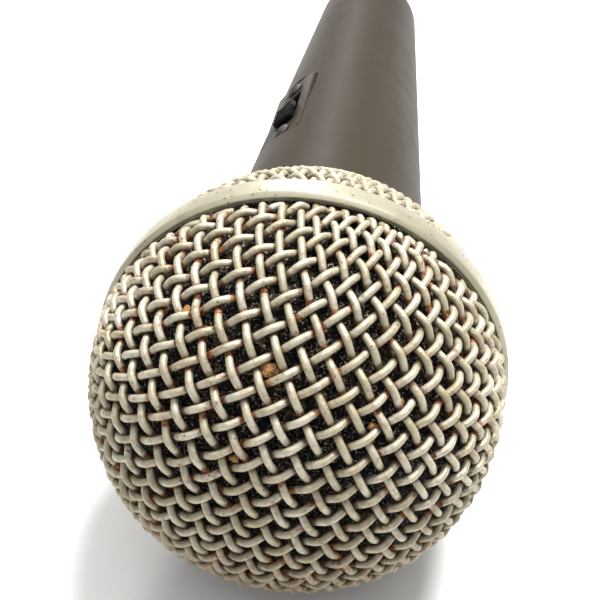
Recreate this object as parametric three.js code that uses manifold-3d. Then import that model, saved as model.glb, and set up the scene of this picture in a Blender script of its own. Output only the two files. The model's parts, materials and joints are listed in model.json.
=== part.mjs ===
// Handheld dynamic microphone, lying on a surface with its grille towards -Y.
// Units are millimetres, +Z is up. The row origin is under the centre of the whole object, on the surface.
//
// Every piece is drawn about the microphone's own axis, local +Y, which runs from the grille band's plane
// (local y = 0) to the connector end. Local +Z is the microphone's upper side. One group then tips the
// axis so that the grille band and the connector end both rest on the surface.

import * as THREE from 'three';
import { mergeVertices } from 'three/addons/utils/BufferGeometryUtils.js';
import Module from 'manifold-3d';

const wasm = await Module();
wasm.setup();

// ---- Driving dimensions (mm) ----
const SIDES = 40;                 // facets round the main turned pieces
const FINE = 28;                  // facets round the small turned pieces
const GAP = 0.3;                  // clearance between pieces that touch

const BALL_R = 24.55;             // middle of the woven wire sheet at the band
const DOME_FLATTEN = 0.376;       // how far the dome's front is flatter than a half circle
const DOME_LIFT = 0.052;          // how far its shoulder sits forward
const WIRE_D = 0.9;
const BAND = { r: 25.65, wall: 1.25, front: -0.4, back: 3.6, lip: 0.5 };
const COLLAR = { r: 17.7, bore: 15.0, front: 20.4, back: 23.2, lip: 0.5 };
const REAR = { front: 3.9, rFront: 24.3, back: 20.1, rBack: 16.9, bulge: 0.8 };   // middle of the rear wire sheet
const FOAM_WALL = 3.2;

const HANDLE = { front: 24.6, rFront: 15.0, back: 135.6, rBack: 11.2, end: 137 };
const HANDLE_WALL = 2.2;
const SOCKET = { bore: 9.6, floor: 116.7, ridge: 8.8 };
const PIN = { r: 1.2, circle: 4.6, from: 113.6, to: 133.5 };

const ADAPTER = { thread: 14.5, bore: 12.5, plug: 13.2, front: 17.5, step: 24.3, back: 34 };
const CAPSULE = { r: 13.2, bore: 12.2, front: -10.9, stem: 9.0 };

const SWITCH = { y: 60, angle: 134, travel: 4.5, flat: 13.15, floor: 12.45 };
const SWITCH_PLATE = { length: 24, width: 8.8, from: 12.75, to: 13.25 };
const SWITCH_SLOT = { length: 12.0, width: 4.2 };

// The grille band's back edge and the handle's end edge are the two lines that touch the surface.
const BAND_REST_Y = BAND.back - BAND.lip;
const REST_TILT = Math.atan2(BAND.r - HANDLE.rBack, HANDLE.back - BAND_REST_Y);

// ---- Materials ----
const COLOURS = {
  grille: [0xb3ab98, 0.42, 0.55],
  band: [0xb9b2a2, 0.38, 0.5],
  handle: [0x3b3735, 0.45, 0.35],
  foam: [0x0c0c0d, 0.95, 0],
  rubber: [0x151515, 0.85, 0],
  plastic: [0x17181a, 0.5, 0],
  steel: [0x9c9c9a, 0.3, 0.9],
  brass: [0xb49a58, 0.35, 0.9],
  film: [0xc9b37a, 0.3, 0],
  copper: [0xa65a32, 0.35, 0.85],
  magnet: [0x6b6a6c, 0.4, 0.8],
  cloth: [0x2a2826, 0.9, 0],
  redLead: [0x8c1f1c, 0.55, 0],
  blackLead: [0x141414, 0.55, 0],
};

function material(name) {
  const [color, roughness, metalness] = COLOURS[name];
  return new THREE.MeshStandardMaterial({ color, roughness, metalness });
}

// ---- Geometry helpers ----

// One closed body: shared corners merged, triangles without area dropped.
function closed(geometry) {
  const bare = new THREE.BufferGeometry();
  bare.setAttribute('position', geometry.getAttribute('position').clone());
  bare.setIndex(geometry.getIndex() ?? [...Array(bare.getAttribute('position').count).keys()]);
  const merged = mergeVertices(bare, 1e-4);
  const from = merged.getIndex().array;
  const kept = [];
  for (let t = 0; t < from.length; t += 3) {
    const [a, b, c] = [from[t], from[t + 1], from[t + 2]];
    if (a !== b && b !== c && c !== a) kept.push(a, b, c);
  }
  merged.setIndex(kept);
  return merged;
}

// A turned piece from [radius, y] points, listed with the outside running towards +y.
// A facet, not a corner, faces straight down.
function turned(points, sides = SIDES) {
  const profile = points.map(([r, y]) => new THREE.Vector2(r, y));
  const onAxis = points[0][0] === 0 && points.at(-1)[0] === 0;
  if (!onAxis) profile.push(profile[0].clone());
  return closed(new THREE.LatheGeometry(profile, sides, Math.PI / sides, 2 * Math.PI));
}

// Corner radius that makes a faceted round's flats touch the true circle.
const flatsAt = (r, sides = SIDES) => r / Math.cos(Math.PI / sides);

function solidOf(geometry) {
  const g = closed(geometry);
  return new wasm.Manifold(new wasm.Mesh({
    numProp: 3,
    vertProperties: new Float32Array(g.getAttribute('position').array),
    triVerts: new Uint32Array(g.getIndex().array),
  }));
}

function cut(base, ...tools) {
  let solid = solidOf(base);
  for (const tool of tools) solid = solid.subtract(solidOf(tool));
  return geometryOf(solid);
}

function geometryOf(solid) {
  const mesh = solid.getMesh();
  const g = new THREE.BufferGeometry();
  g.setAttribute('position', new THREE.BufferAttribute(mesh.vertProperties.slice(), 3));
  g.setIndex([...mesh.triVerts]);
  return g;
}

// A flat outline pushed along local +Y from y0 to y1. The outline's x is local x, its y is local -z.
function pushed(shape, y0, y1, curveSegments = 8) {
  const g = new THREE.ExtrudeGeometry(shape, { depth: y1 - y0, bevelEnabled: false, curveSegments });
  return closed(g.rotateX(-Math.PI / 2).translate(0, y0, 0));
}

function rectangle(width, height) {
  const [w, h] = [width / 2, height / 2];
  return new THREE.Shape([[-w, -h], [w, -h], [w, h], [-w, h]].map(([x, y]) => new THREE.Vector2(x, y)));
}

function circleHole(x, y, r) {
  return new THREE.Path().absarc(x, y, r, 0, 2 * Math.PI, true);
}

function block(width, length, height, x = 0, y = 0, z = 0) {
  return closed(new THREE.BoxGeometry(width, length, height).translate(x, y, z));
}

// ---- The grille dome's profile ----

// Angle of the dome's surface from its front, t = 0, to the band, t = 1.
const domeAngle = (t) => (Math.PI / 2)
  * (t - DOME_FLATTEN * Math.sin(2 * Math.PI * t) / (2 * Math.PI) - DOME_LIFT * Math.sin(Math.PI * t) / Math.PI);

// Points of the dome's surface moved in by `inset`, from the axis to `reach` of the way to the band.
function domeProfile(inset, steps, reach = 1) {
  const fine = 400;
  const walk = [[0, 0, domeAngle(0)]];
  for (let i = 1; i <= fine; i += 1) {
    const mid = domeAngle((i - 0.5) / fine);
    const [r, y] = walk.at(-1);
    walk.push([r + Math.cos(mid), y + Math.sin(mid), domeAngle(i / fine)]);
  }
  const scale = BALL_R / walk.at(-1)[0];
  const height = walk.at(-1)[1];
  return Array.from({ length: steps + 1 }, (_, i) => {
    const [r, y, angle] = walk[Math.round((i / steps) * reach * fine)];
    return [Math.max(0, r * scale - inset * Math.sin(angle)), (y - height) * scale + inset * Math.cos(angle)];
  });
}

// Radius of the middle of the rear wire sheet: a straight cone bowed out by REAR.bulge.
function rearRadius(y) {
  const t = (y - REAR.front) / (REAR.back - REAR.front);
  return REAR.rFront + (REAR.rBack - REAR.rFront) * t + 4 * REAR.bulge * t * (1 - t);
}

// Points of the rear sheet moved in by `inset`, from y0 to y1.
function rearProfile(inset, steps, y0 = REAR.front, y1 = REAR.back) {
  return Array.from({ length: steps + 1 }, (_, i) => {
    const y = y0 + (y1 - y0) * (i / steps);
    return [rearRadius(y) - inset, y];
  });
}

// ---- Grille ----

// The front wire cloth, as a shell as thick as two crossing wires.
function grilleFront() {
  const edge = BAND.front - GAP;
  const outer = domeProfile(-WIRE_D, 11);
  const inner = domeProfile(WIRE_D, 7).reverse();
  outer.at(-1)[1] = edge;
  inner[0][1] = edge;
  return turned([...outer, ...inner]);
}

function grilleBand() {
  const { wall, front, back, lip } = BAND;
  const [r, bore] = [flatsAt(BAND.r), BAND.r - wall];
  return turned([[r - lip, front], [r, front + lip], [r, back - lip], [r - lip, back], [bore, back], [bore, front]]);
}

function grilleRear() {
  return turned([...rearProfile(-WIRE_D, 5), ...rearProfile(WIRE_D, 4).reverse()]);
}

function grilleCollar() {
  const { r, bore, front, back, lip } = COLLAR;
  return turned([[r - lip, front], [r, front + lip], [r, back - lip], [r - lip, back], [bore, back], [bore, front]]);
}

// The foam liner behind both wire cloths.
function windscreenFoam() {
  const skin = WIRE_D + GAP;
  const back = ADAPTER.front - 1;
  const outer = [...domeProfile(skin, 8, 0.94), ...rearProfile(skin, 4, REAR.front, back)];
  const inner = [...domeProfile(skin + FOAM_WALL, 5, 0.94), ...rearProfile(skin + FOAM_WALL, 2, REAR.front, back)];
  const clearOfThread = ADAPTER.thread - 0.2;
  inner.at(-1)[0] = Math.max(inner.at(-1)[0], clearOfThread);
  return turned([...outer, ...inner.reverse()], FINE);
}

function sealWasher() {
  const [front, back] = [COLLAR.back + GAP, HANDLE.front - GAP];
  return turned([[16.9, front], [16.9, back], [15.0, back], [15.0, front]], FINE);
}

// ---- Capsule, in the grille's hollow ----

function resonatorCap() {
  const shape = new THREE.Shape().absarc(0, 0, CAPSULE.r, 0, 2 * Math.PI);
  shape.holes.push(circleHole(0, 0, 1.6));
  for (let i = 0; i < 6; i += 1) {
    const turn = (i * Math.PI) / 3;
    shape.holes.push(circleHole(7 * Math.cos(turn), 7 * Math.sin(turn), 2.2));
  }
  const back = CAPSULE.front - GAP;
  return pushed(shape, back - 1.2, back, 7);
}

function acousticCloth() {
  return turned([[0, CAPSULE.front], [CAPSULE.bore - 0.4, CAPSULE.front],
    [CAPSULE.bore - 0.4, CAPSULE.front + 0.3], [0, CAPSULE.front + 0.3]], FINE);
}

// A thin film with a shallow dome in its middle and a roll round its edge.
function diaphragm() {
  const film = 0.3;
  const under = [[0, -9.5], [3.6, -9.3], [6.4, -8.9], [7.6, -8.8], [9.6, -9.15], [11.8, -8.8]];
  const top = under.map(([r, y]) => [r, y - film]);
  return turned([...top, ...under.reverse()], FINE);
}

function voiceCoil() {
  return turned([[7.4, -8.5], [7.4, -5.0], [6.8, -5.0], [6.8, -8.5]], FINE);
}

function poleAndMagnet() {
  const disc = (r, y0, y1) => turned([[0, y0], [r, y0], [r, y1], [0, y1]], FINE);
  return { pole_piece: disc(6.2, -6.9, -4.7), magnet: disc(6.0, -4.4, -0.7) };
}

function magnetYoke() {
  return turned([[0, -0.4], [8.0, -0.4], [8.0, -6.0], [9.5, -6.0], [9.5, 1.3], [0, 1.3]], FINE);
}

// The capsule's metal can: a wide cup for the motor, narrowing to a stem that the rubber mount holds.
function capsuleHousing() {
  const { r, bore, front, stem } = CAPSULE;
  return turned([[r, front], [r, 10], [stem, 13.5], [stem, 16], [7.4, 16], [7.4, 1.6], [bore, 1.6], [bore, front]]);
}

function rearChamber() {
  const { stem } = CAPSULE;
  return turned([[0, 26], [stem - 0.8, 26], [stem - 0.8, 16.3], [stem, 16.3], [stem, 27], [0, 27]], FINE);
}

function shockMount() {
  return turned([[12.2, 18], [12.2, 24], [9.3, 24], [9.3, 18]], FINE);
}

// The sleeve that the grille screws onto, and that plugs into the handle.
function threadAdapter() {
  const { thread, bore, plug, front, step, back } = ADAPTER;
  return turned([[thread - 0.5, front], [thread, front + 0.5], [thread, step - 0.6], [plug, step],
    [plug, back], [11.6, back], [11.6, step], [bore, step], [bore, front]]);
}

// ---- Handle ----

const handleRadius = (y) => HANDLE.rFront
  + (HANDLE.rBack - HANDLE.rFront) * ((y - HANDLE.front) / (HANDLE.back - HANDLE.front));

// Moves a piece drawn about the upper side, local +Z, round the axis to `degrees` from local +X.
const aimed = (geometry, degrees) => geometry.rotateY(THREE.MathUtils.degToRad(90 - degrees));

// A short round bar that stands out from the axis along local +Z, from z0 to z1, at `y`.
function spoke(r, y, z0, z1, sides = 12) {
  const bar = new THREE.CylinderGeometry(r, r, z1 - z0, sides).rotateX(Math.PI / 2);
  return closed(bar.translate(0, y, (z0 + z1) / 2));
}

const CONNECTOR_SCREW = { y: 119.6, angle: 300, r: 1.05 };
const SWITCH_SCREW_OFFSET = SWITCH_PLATE.length / 2 - 3;

function handle() {
  const shell = turned([
    [HANDLE.rFront - 0.5, HANDLE.front], [HANDLE.rFront, HANDLE.front + 0.5],
    [handleRadius(SWITCH.y), SWITCH.y],
    [flatsAt(HANDLE.rBack), HANDLE.back], [11.0, 136.6], [10.65, HANDLE.end],
    [SOCKET.bore, HANDLE.end], [SOCKET.bore, SOCKET.floor], [SOCKET.ridge, SOCKET.floor], [SOCKET.ridge, 114.5],
    [handleRadius(112) - HANDLE_WALL, 112], [handleRadius(36) - HANDLE_WALL, 36], [13.5, 35],
    [13.5, HANDLE.front],
  ]);
  const land = block(12, SWITCH_PLATE.length + 3, 3, 0, SWITCH.y, SWITCH.flat + 1.5);
  const pocket = block(SWITCH_PLATE.width + 2 * GAP, SWITCH_PLATE.length + 2 * GAP, 3,
    0, SWITCH.y, SWITCH.floor + 1.5);
  const slot = block(SWITCH_SLOT.width + 1.2, SWITCH_SLOT.length + 1.2, 6, 0, SWITCH.y, 11);
  const screwHoles = [-1, 1].map((side) => spoke(1.3, SWITCH.y + side * SWITCH_SCREW_OFFSET, 9, 15));
  const latch = block(3.2, 5, 2.6, 0, HANDLE.end - 3.5, 9.5);
  return cut(
    shell,
    ...[land, pocket, slot, ...screwHoles].map((tool) => aimed(tool, SWITCH.angle)),
    aimed(spoke(CONNECTOR_SCREW.r + GAP, CONNECTOR_SCREW.y, 8, 14), CONNECTOR_SCREW.angle),
    aimed(latch, 90),
  );
}

// The switch plate, with its slot and screw holes, drawn flat and stood on the handle's land.
function switchPlate() {
  const shape = rectangle(SWITCH_PLATE.width, SWITCH_PLATE.length);
  const { width, length } = SWITCH_SLOT;
  const [w, l] = [width / 2, length / 2];
  shape.holes.push(new THREE.Path([[-w, -l], [-w, l], [w, l], [w, -l]].map(([x, y]) => new THREE.Vector2(x, y))));
  for (const side of [-1, 1]) shape.holes.push(circleHole(0, side * SWITCH_SCREW_OFFSET, 1.3));
  const g = new THREE.ExtrudeGeometry(shape, {
    depth: SWITCH_PLATE.to - SWITCH_PLATE.from, bevelEnabled: false, curveSegments: 6,
  });
  return aimed(closed(g.translate(0, SWITCH.y, SWITCH_PLATE.from)), SWITCH.angle);
}

function switchScrew(side) {
  const g = new THREE.LatheGeometry([[0, 10.3], [1.0, 10.3], [1.0, 13.55], [1.6, 13.55], [1.2, 14.0], [0, 14.0]]
    .map(([r, y]) => new THREE.Vector2(r, y)), 12).rotateX(Math.PI / 2);
  return aimed(closed(g.translate(0, SWITCH.y + side * SWITCH_SCREW_OFFSET, 0)), SWITCH.angle);
}

// The sliding knob: a stem through the plate's slot and a ribbed thumb piece above it.
function switchSlider() {
  const start = SWITCH.y - SWITCH.travel / 2;
  const stem = block(2.6, 3.2, 3.2, 0, start, 12.1);
  const outline = [[-3, 13.55], [3, 13.55], [3, 14.0], [2.4, 14.35], [1.6, 14.0], [0.8, 14.4], [0, 14.05],
    [-0.8, 14.4], [-1.6, 14.0], [-2.4, 14.35], [-3, 14.0]];
  const shape = new THREE.Shape(outline.map(([y, z]) => new THREE.Vector2(y, z)));
  const knob = new THREE.ExtrudeGeometry(shape, { depth: 3.8, bevelEnabled: false });
  knob.rotateY(Math.PI / 2).rotateX(Math.PI / 2).translate(-1.9, start, 0);
  return aimed(geometryOf(solidOf(knob).add(solidOf(stem))), SWITCH.angle);
}

function switchBody() {
  return aimed(block(7.2, 13, 5.4, 0, SWITCH.y, 7.5), SWITCH.angle);
}

// ---- Transformer, between the capsule and the switch ----

const CORE = { width: 14, tall: 13, depth: 6.5, leg: 2, window: 3, y: 43.5 };

// A laminated core with two windows, and the winding that fills them round the middle leg.
function transformerCore() {
  const { width, tall, depth, leg, window, y } = CORE;
  const windows = [-1, 1].map((side) => block(window, tall - 2 * leg, depth + 1,
    side * (width / 2 - leg - window / 2), y, 0));
  return cut(block(width, tall, depth, 0, y, 0), ...windows);
}

function transformerWinding() {
  const legWidth = CORE.width - 2 * (CORE.leg + CORE.window);
  const shape = rectangle(9, 11.4);
  const [w, d] = [legWidth / 2 + GAP, CORE.depth / 2 + GAP];
  shape.holes.push(new THREE.Path([[-w, -d], [-w, d], [w, d], [w, -d]].map(([x, y]) => new THREE.Vector2(x, y))));
  const half = CORE.tall / 2 - CORE.leg - GAP;
  return pushed(shape, CORE.y - half, CORE.y + half);
}

function transformerCushion() {
  return turned([[11.4, 37.5], [11.4, 49.5], [8.2, 49.5], [8.2, 37.5]], FINE);
}

// ---- Connector ----

const pinPlace = (i) => {
  const turn = THREE.MathUtils.degToRad(30 + 120 * i);
  return [PIN.circle * Math.cos(turn), PIN.circle * Math.sin(turn)];
};

function connectorInsert() {
  const shape = new THREE.Shape().absarc(0, 0, SOCKET.bore - GAP - 0.05, 0, 2 * Math.PI);
  for (let i = 0; i < 3; i += 1) {
    const [x, z] = pinPlace(i);
    shape.holes.push(circleHole(x, -z, PIN.r + GAP));
  }
  return pushed(shape, SOCKET.floor + GAP, SOCKET.floor + 5.8, 14);
}

function connectorPin(i) {
  const { r, from, to } = PIN;
  const g = new THREE.LatheGeometry([[0, from], [r, from], [r, to - r], [r * 0.7, to - 0.3 * r], [0, to]]
    .map(([x, y]) => new THREE.Vector2(x, y)), 12);
  const [x, z] = pinPlace(i);
  return closed(g.translate(x, 0, z));
}

function connectorScrew() {
  return aimed(spoke(CONNECTOR_SCREW.r, CONNECTOR_SCREW.y, 9.75, 11.45), CONNECTOR_SCREW.angle);
}

// ---- Leads inside the handle ----

// A thin wire through the given points.
function lead(points) {
  const r = 0.6;
  const section = new THREE.Shape(Array.from({ length: 6 }, (_, i) => new THREE.Vector2(
    r * Math.cos((i * Math.PI) / 3), r * Math.sin((i * Math.PI) / 3))));
  const path = new THREE.CatmullRomCurve3(points.map((p) => new THREE.Vector3(...p)));
  const steps = Math.max(6, Math.round(path.getLength() / 4));
  return closed(new THREE.ExtrudeGeometry(section, { steps, extrudePath: path, bevelEnabled: false }));
}

const capsuleLead = (side) => lead([[side * 3, 27.3, 0], [side * 3.6, 31, 1.4], [side * 3.2, 34, 3.6], [side * 3, 36.5, 4.4]]);

function outputLead(side) {
  const start = CORE.y + CORE.tall / 2 + GAP;
  const [x, z] = pinPlace(side < 0 ? 1 : 0);
  return lead([[side * 3, start, 0], [side * 2.5 + 2, start + 10, -5], [side * 2.5 + 2, 90, -6],
    [x * 0.9, 104, 0], [x, PIN.from - GAP, z]]);
}

// ---- The microphone ----

function pieces() {
  const { pole_piece, magnet } = poleAndMagnet();
  return [
    ['grille_front', 'grille', grilleFront()],
    ['grille_band', 'band', grilleBand()],
    ['grille_rear', 'grille', grilleRear()],
    ['grille_collar', 'band', grilleCollar()],
    ['windscreen_foam', 'foam', windscreenFoam()],
    ['seal_washer', 'rubber', sealWasher()],
    ['resonator_cap', 'plastic', resonatorCap()],
    ['acoustic_cloth', 'cloth', acousticCloth()],
    ['diaphragm', 'film', diaphragm()],
    ['voice_coil', 'copper', voiceCoil()],
    ['pole_piece', 'steel', pole_piece],
    ['magnet', 'magnet', magnet],
    ['magnet_yoke', 'steel', magnetYoke()],
    ['capsule_housing', 'steel', capsuleHousing()],
    ['rear_chamber', 'plastic', rearChamber()],
    ['shock_mount', 'rubber', shockMount()],
    ['thread_adapter', 'steel', threadAdapter()],
    ['handle', 'handle', handle()],
    ['switch_plate', 'steel', switchPlate()],
    ['switch_screw_1', 'steel', switchScrew(-1)],
    ['switch_screw_2', 'steel', switchScrew(1)],
    ['switch_slider', 'plastic', switchSlider()],
    ['switch_body', 'plastic', switchBody()],
    ['transformer_core', 'steel', transformerCore()],
    ['transformer_winding', 'copper', transformerWinding()],
    ['transformer_cushion', 'rubber', transformerCushion()],
    ['connector_insert', 'plastic', connectorInsert()],
    ['connector_pin_1', 'brass', connectorPin(0)],
    ['connector_pin_2', 'brass', connectorPin(1)],
    ['connector_pin_3', 'brass', connectorPin(2)],
    ['connector_screw', 'steel', connectorScrew()],
    ['capsule_lead_red', 'redLead', capsuleLead(-1)],
    ['capsule_lead_black', 'blackLead', capsuleLead(1)],
    ['output_lead_red', 'redLead', outputLead(-1)],
    ['output_lead_black', 'blackLead', outputLead(1)],
  ];
}

const microphone = new THREE.Group();
for (const [name, look, geometry] of pieces()) {
  const mesh = new THREE.Mesh(geometry, material(look));
  mesh.name = name;
  microphone.add(mesh);
}

// Tip the connector end down until the band and the handle's end touch the surface, then centre the
// outline over the origin.
microphone.rotation.x = -REST_TILT;
microphone.updateMatrixWorld(true);
const outline = new THREE.Box3().setFromObject(microphone, true);
microphone.position.set(0, -(outline.min.y + outline.max.y) / 2, -outline.min.z);

const part = new THREE.Group();
part.add(microphone);
export default part;
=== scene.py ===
import json
import math

import bmesh
import bpy
import numpy as np
from mathutils import Matrix, Vector, noise


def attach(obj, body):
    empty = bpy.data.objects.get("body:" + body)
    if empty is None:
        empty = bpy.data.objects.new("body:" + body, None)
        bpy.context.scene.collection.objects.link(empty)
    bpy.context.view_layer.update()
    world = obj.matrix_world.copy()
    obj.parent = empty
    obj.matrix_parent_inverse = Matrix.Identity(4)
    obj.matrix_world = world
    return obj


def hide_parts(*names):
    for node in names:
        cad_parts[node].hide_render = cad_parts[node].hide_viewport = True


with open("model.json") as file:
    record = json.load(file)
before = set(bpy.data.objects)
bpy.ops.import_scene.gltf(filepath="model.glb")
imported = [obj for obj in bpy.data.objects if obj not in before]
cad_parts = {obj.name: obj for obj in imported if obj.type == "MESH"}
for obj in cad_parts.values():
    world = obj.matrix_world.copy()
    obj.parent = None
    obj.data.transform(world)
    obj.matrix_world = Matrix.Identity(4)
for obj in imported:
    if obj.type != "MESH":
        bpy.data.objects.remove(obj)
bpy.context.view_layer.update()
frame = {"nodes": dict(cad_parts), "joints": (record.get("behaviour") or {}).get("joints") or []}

MM = 0.001

# ---- The microphone's own axes, from the frame ----
# Local x is the row's +X, local y runs along the microphone to its connector end, local z is its upper
# side. The local origin is on the axis in the band plane, where the front dome ends.
grille_joint = next(j for j in frame["joints"] if j["name"] == "grille_turn")
ORIGIN = Vector(grille_joint["pos_m"])
TAIL = -Vector(grille_joint["axis"]).normalized()
SIDE = Vector((1, 0, 0))
UP = SIDE.cross(TAIL).normalized()
TO_ROW = Matrix((SIDE, TAIL, UP)).transposed()
TO_ROW_ARRAY = np.array(TO_ROW)
ORIGIN_ARRAY = np.array(ORIGIN)


def to_row(points):
    """Row coordinates in metres of local points in millimetres."""
    return np.asarray(points, float) * MM @ TO_ROW_ARRAY.T + ORIGIN_ARRAY


def to_local(points):
    """Local millimetres of row points in metres."""
    return (np.asarray(points, float) - ORIGIN_ARRAY) @ TO_ROW_ARRAY / MM


def local_vertices(node):
    mesh = frame["nodes"][node].data
    return to_local([v.co for v in mesh.vertices])


def cad_radius(node):
    """Outer radius of a turned CAD node."""
    points = local_vertices(node)
    return np.hypot(points[:, 0], points[:, 2]).max()


# ---- Driving sizes of the visual model (mm) ----
SHEET_HALF = 0.9                              # half the thickness of the CAD's stand-in for the cloth
BALL_R = cad_radius("grille_front") - SHEET_HALF
DOME_FLATTEN = 0.376                          # how much flatter than a ball the dome is at its pole
DOME_LIFT = 0.052                             # how much its edge leans from the band plane's normal
WIRE_D = 0.84
WIRE_PITCH = 2.40
WIRE_SIDES = 12
CRIMP = 0.47                                  # rise of a wire over its neighbours, in wire widths
KNOT = WIRE_PITCH / 3                         # mesh width of the net that guides the wires
WEAVE_TURN = math.radians(27.3)               # turn of the front cloth about the axis
WEAVE_SHIFT = (-0.273, 12.777)                # where the axis meets the cloth, counted in wires
# The rear cloth's middle surface
REAR = {"front": 3.9, "r_front": 24.3, "back": 20.8, "r_back": 17.25, "bulge": 1.1}
THREAD_PITCH = 1.5


# ---- Mesh helpers ----

def new_object(name, vertices, faces, material, body, nodes=(), sharp=40):
    """A mesh piece from row coordinates that rides on a body and stands for CAD nodes."""
    mesh = bpy.data.meshes.new(name)
    mesh.from_pydata([tuple(v) for v in vertices], [], faces)
    mesh.validate()
    mesh.materials.append(material)
    smooth(mesh, sharp)
    piece = in_scene(name, mesh)
    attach(piece, body)
    if nodes:
        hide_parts(*nodes)
    return piece


def in_scene(name, data):
    placed = bpy.data.objects.new(name, data)
    bpy.context.scene.collection.objects.link(placed)
    return placed


def smooth(mesh, sharp=40):
    mesh.polygons.foreach_set("use_smooth", [True] * len(mesh.polygons))
    mesh.set_sharp_from_angle(angle=math.radians(sharp))


def apply_modifiers(piece):
    graph = bpy.context.evaluated_depsgraph_get()
    mesh = bpy.data.meshes.new_from_object(piece.evaluated_get(graph))
    piece.modifiers.clear()
    old = piece.data
    piece.data = mesh
    bpy.data.meshes.remove(old)


def turned_mesh(profile, sides=144, radius_at=lambda r, y, turn: r):
    """Vertices and faces of a turned solid from local (radius, y) points, closed or from axis to axis.
    radius_at may vary the radius round each ring."""
    on_axis = profile[0][0] < 1e-6 and profile[-1][0] < 1e-6
    vertices, rings = [], []
    for r, y in profile:
        if r < 1e-6:
            rings.append([len(vertices)])
            vertices.append((0, y, 0))
            continue
        rings.append(list(range(len(vertices), len(vertices) + sides)))
        for k in range(sides):
            turn = 2 * math.pi * k / sides
            local_r = radius_at(r, y, turn)
            vertices.append((local_r * math.cos(turn), y, local_r * math.sin(turn)))
    faces = []
    pairs = list(zip(rings, rings[1:]))
    if not on_axis:
        pairs.append((rings[-1], rings[0]))
    for a, b in pairs:
        for k in range(sides):
            n = (k + 1) % sides
            quad = [a[k % len(a)], b[k % len(b)], b[n % len(b)], a[n % len(a)]]
            faces.append([v for i, v in enumerate(quad) if v != quad[i - 1]])
    return to_row(vertices), [f for f in faces if len(f) > 2]


def cad_profile(node):
    """The (radius, y) outline of a turned CAD node, walked along one of its meridians."""
    same_place, on_axis, same_angle = 0.004, 0.01, 0.01
    mesh = frame["nodes"][node].data
    points = local_vertices(node)
    keys, first, merged = {}, [], []
    for p in points:
        key = tuple(np.round(p / same_place).astype(int))
        if key not in keys:
            keys[key] = len(first)
            first.append(p)
        merged.append(keys[key])
    points = np.array(first)
    radii = np.hypot(points[:, 0], points[:, 2])
    angles = np.arctan2(points[:, 2], points[:, 0])
    at = angles[radii.argmax()]
    off = np.abs((angles - at + math.pi) % (2 * math.pi) - math.pi)
    members = {i for i in range(len(points)) if radii[i] < on_axis or off[i] < same_angle}
    links = {i: set() for i in members}
    for edge in mesh.edges:
        a, b = (merged[v] for v in edge.vertices)
        if a != b and a in members and b in members:
            links[a].add(b)
            links[b].add(a)
    starts = [i for i in members if radii[i] < on_axis] or [min(members)]
    walk, before = [starts[0]], None
    while True:
        following = [i for i in links[walk[-1]] if i != before and i not in walk[1:]]
        following = [i for i in following if max(radii[i], radii[walk[-1]]) >= on_axis]
        if not following or following[0] == walk[0]:
            break
        before = walk[-1]
        walk.append(following[0])
    profile = [(0.0 if radii[i] < on_axis else float(radii[i]), float(points[i, 1])) for i in walk]
    return outward(profile)


def outward(profile):
    """The outline ordered so that its outside runs towards +y."""
    area = sum(a[0] * b[1] - b[0] * a[1] for a, b in zip(profile, profile[1:] + profile[:1]))
    return profile if area > 0 else profile[::-1]


def turned_piece(name, profile, material, body, nodes=(), sides=144, bevel=0.12, sharp=40):
    vertices, faces = turned_mesh(outward(profile), sides)
    piece = new_object(name, vertices, faces, material, body, nodes, sharp)
    if bevel:
        bevelled(piece, bevel, sharp=sharp)
    return piece


def bevelled(piece, width, angle=28, sharp=40):
    modifier = piece.modifiers.new("edges", "BEVEL")
    modifier.width = width * MM
    modifier.segments = 2
    modifier.limit_method = "ANGLE"
    modifier.angle_limit = math.radians(angle)
    apply_modifiers(piece)
    smooth(piece.data, sharp)


def smooth_copy(node, material, body, sides=96, bevel=0.08):
    """A smooth, edge-rounded stand-in for a faceted turned CAD node."""
    return turned_piece(node + "_round", cad_profile(node), material, body, (node,), sides, bevel)


# ---- Materials ----

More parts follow.
